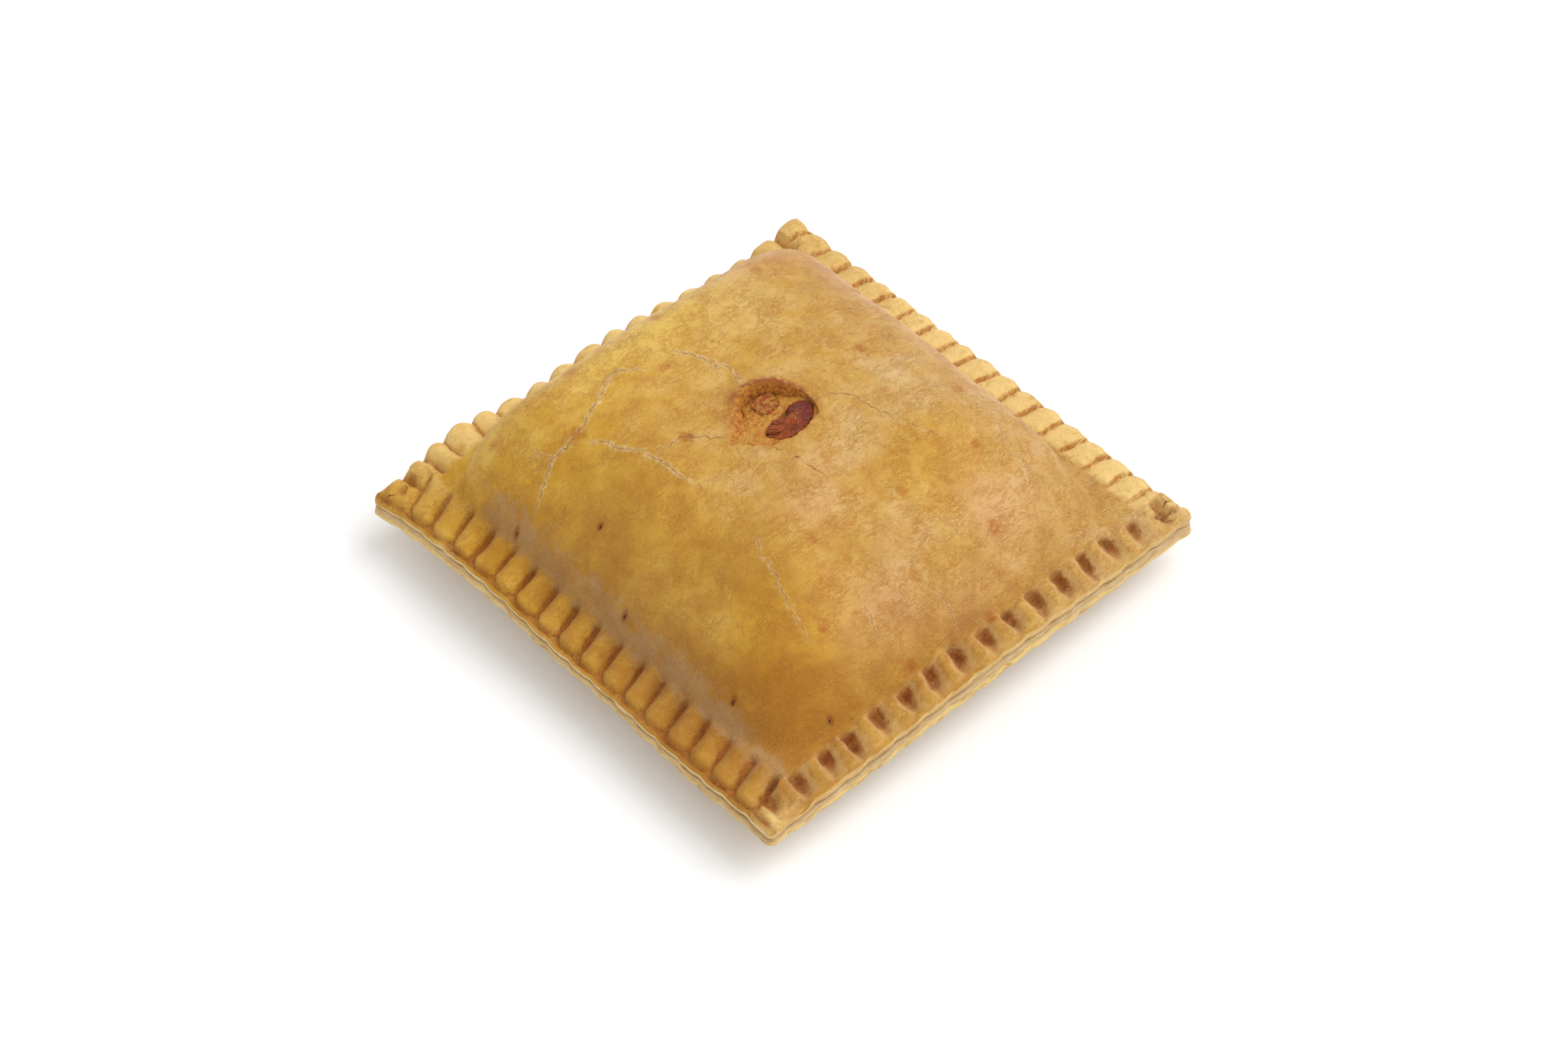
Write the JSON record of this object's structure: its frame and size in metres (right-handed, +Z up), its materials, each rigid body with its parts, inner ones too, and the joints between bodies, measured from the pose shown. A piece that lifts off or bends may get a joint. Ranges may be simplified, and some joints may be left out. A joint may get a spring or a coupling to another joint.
{
  "type": "empanada",
  "caption": "Square baked pastry turnover: sheets of dough crimped round the rim over a domed filling, with a torn vent near the top that shows the filling.",
  "frame": {"origin": "middle of the outline in plan, on the table under the flat base", "axes": "+Z up; the corner at -X -Y is the one nearest the picture's camera, the corner at +X -Y is at the picture's right and the one at -X +Y at its left"},
  "size_m": [0.1326, 0.1322, 0.0423],
  "materials": {
    "crust": "baked golden, satin",
    "crust_under": "baked pale golden, matte",
    "filling": "moist, satin",
    "filling_pieces": "moist, glossy"
  },
  "bodies": {
    "root": {"upper_crust": "crust", "lower_crust": "crust_under", "filling": "filling", "filling_piece_large": "filling_pieces", "filling_piece_small": "filling_pieces"}
  },
  "joints": []
}
